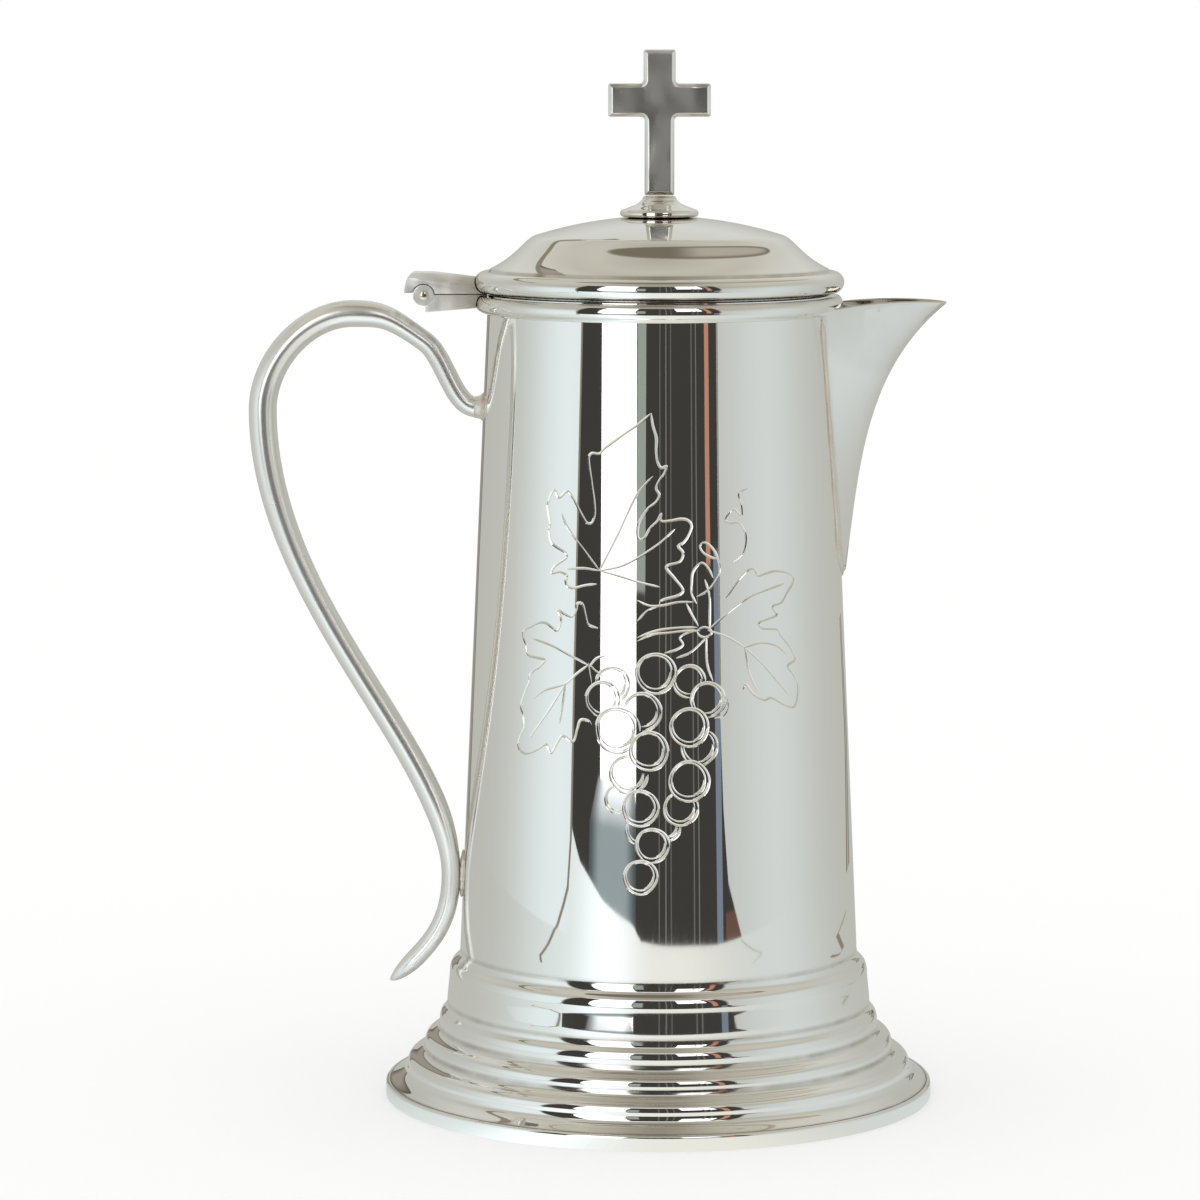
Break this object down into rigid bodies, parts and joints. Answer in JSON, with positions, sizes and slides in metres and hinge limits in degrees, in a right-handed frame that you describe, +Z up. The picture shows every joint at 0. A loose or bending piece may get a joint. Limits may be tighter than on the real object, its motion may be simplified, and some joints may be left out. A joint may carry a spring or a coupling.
{
  "type": "communion flagon",
  "caption": "Tall lidded communion flagon: tapered drum on a stepped foot, beak spout, scroll handle, hinged domed lid with a cross.",
  "frame": {"origin": "on the surface that the flagon stands on, under the middle of its overall box; the drum's axis stands 18.5 mm towards +X from it", "axes": "+Z up, +X from the handle towards the spout, +Y away from the side that the picture shows"},
  "size_m": [0.2129, 0.168, 0.32],
  "materials": {
    "silver_plate": "polished silver plate, lightly rubbed, with fine wiping marks",
    "silver_cast": "cast and filed, then silver plated and polished",
    "silver_inside": "satin silver plate, spun and unpolished",
    "solder": "soft solder under worn silver plate",
    "hinge_pin_metal": "brass wire, plate worn through on its riveted ends",
    "brass_hardware": "turned brass, dull"
  },
  "bodies": {
    "vessel": {"foot_rim": "silver_plate", "foot_shell": "silver_plate", "drum": "silver_plate", "drum_floor": "silver_inside", "mouth_ring": "silver_plate", "spout": "silver_plate", "handle": "silver_cast", "handle_root_boss": "solder", "handle_touch_pad": "solder", "hinge_body_leaf": "silver_cast", "hinge_pin": "hinge_pin_metal"},
    "lid": {"lid_shell": "silver_plate", "lid_bezel": "silver_inside", "hinge_lid_leaf": "silver_cast", "finial_collar": "silver_plate", "finial_cross": "silver_cast", "finial_stud": "brass_hardware", "finial_washer": "brass_hardware", "finial_nut": "brass_hardware"}
  },
  "joints": [
    {"name": "lid_hinge", "type": "hinge", "parent": "vessel", "child": "lid", "pos_m": [-0.05292, 0, 0.2462], "axis": [0, -1, 0], "range_deg": [0, 95]}
  ]
}
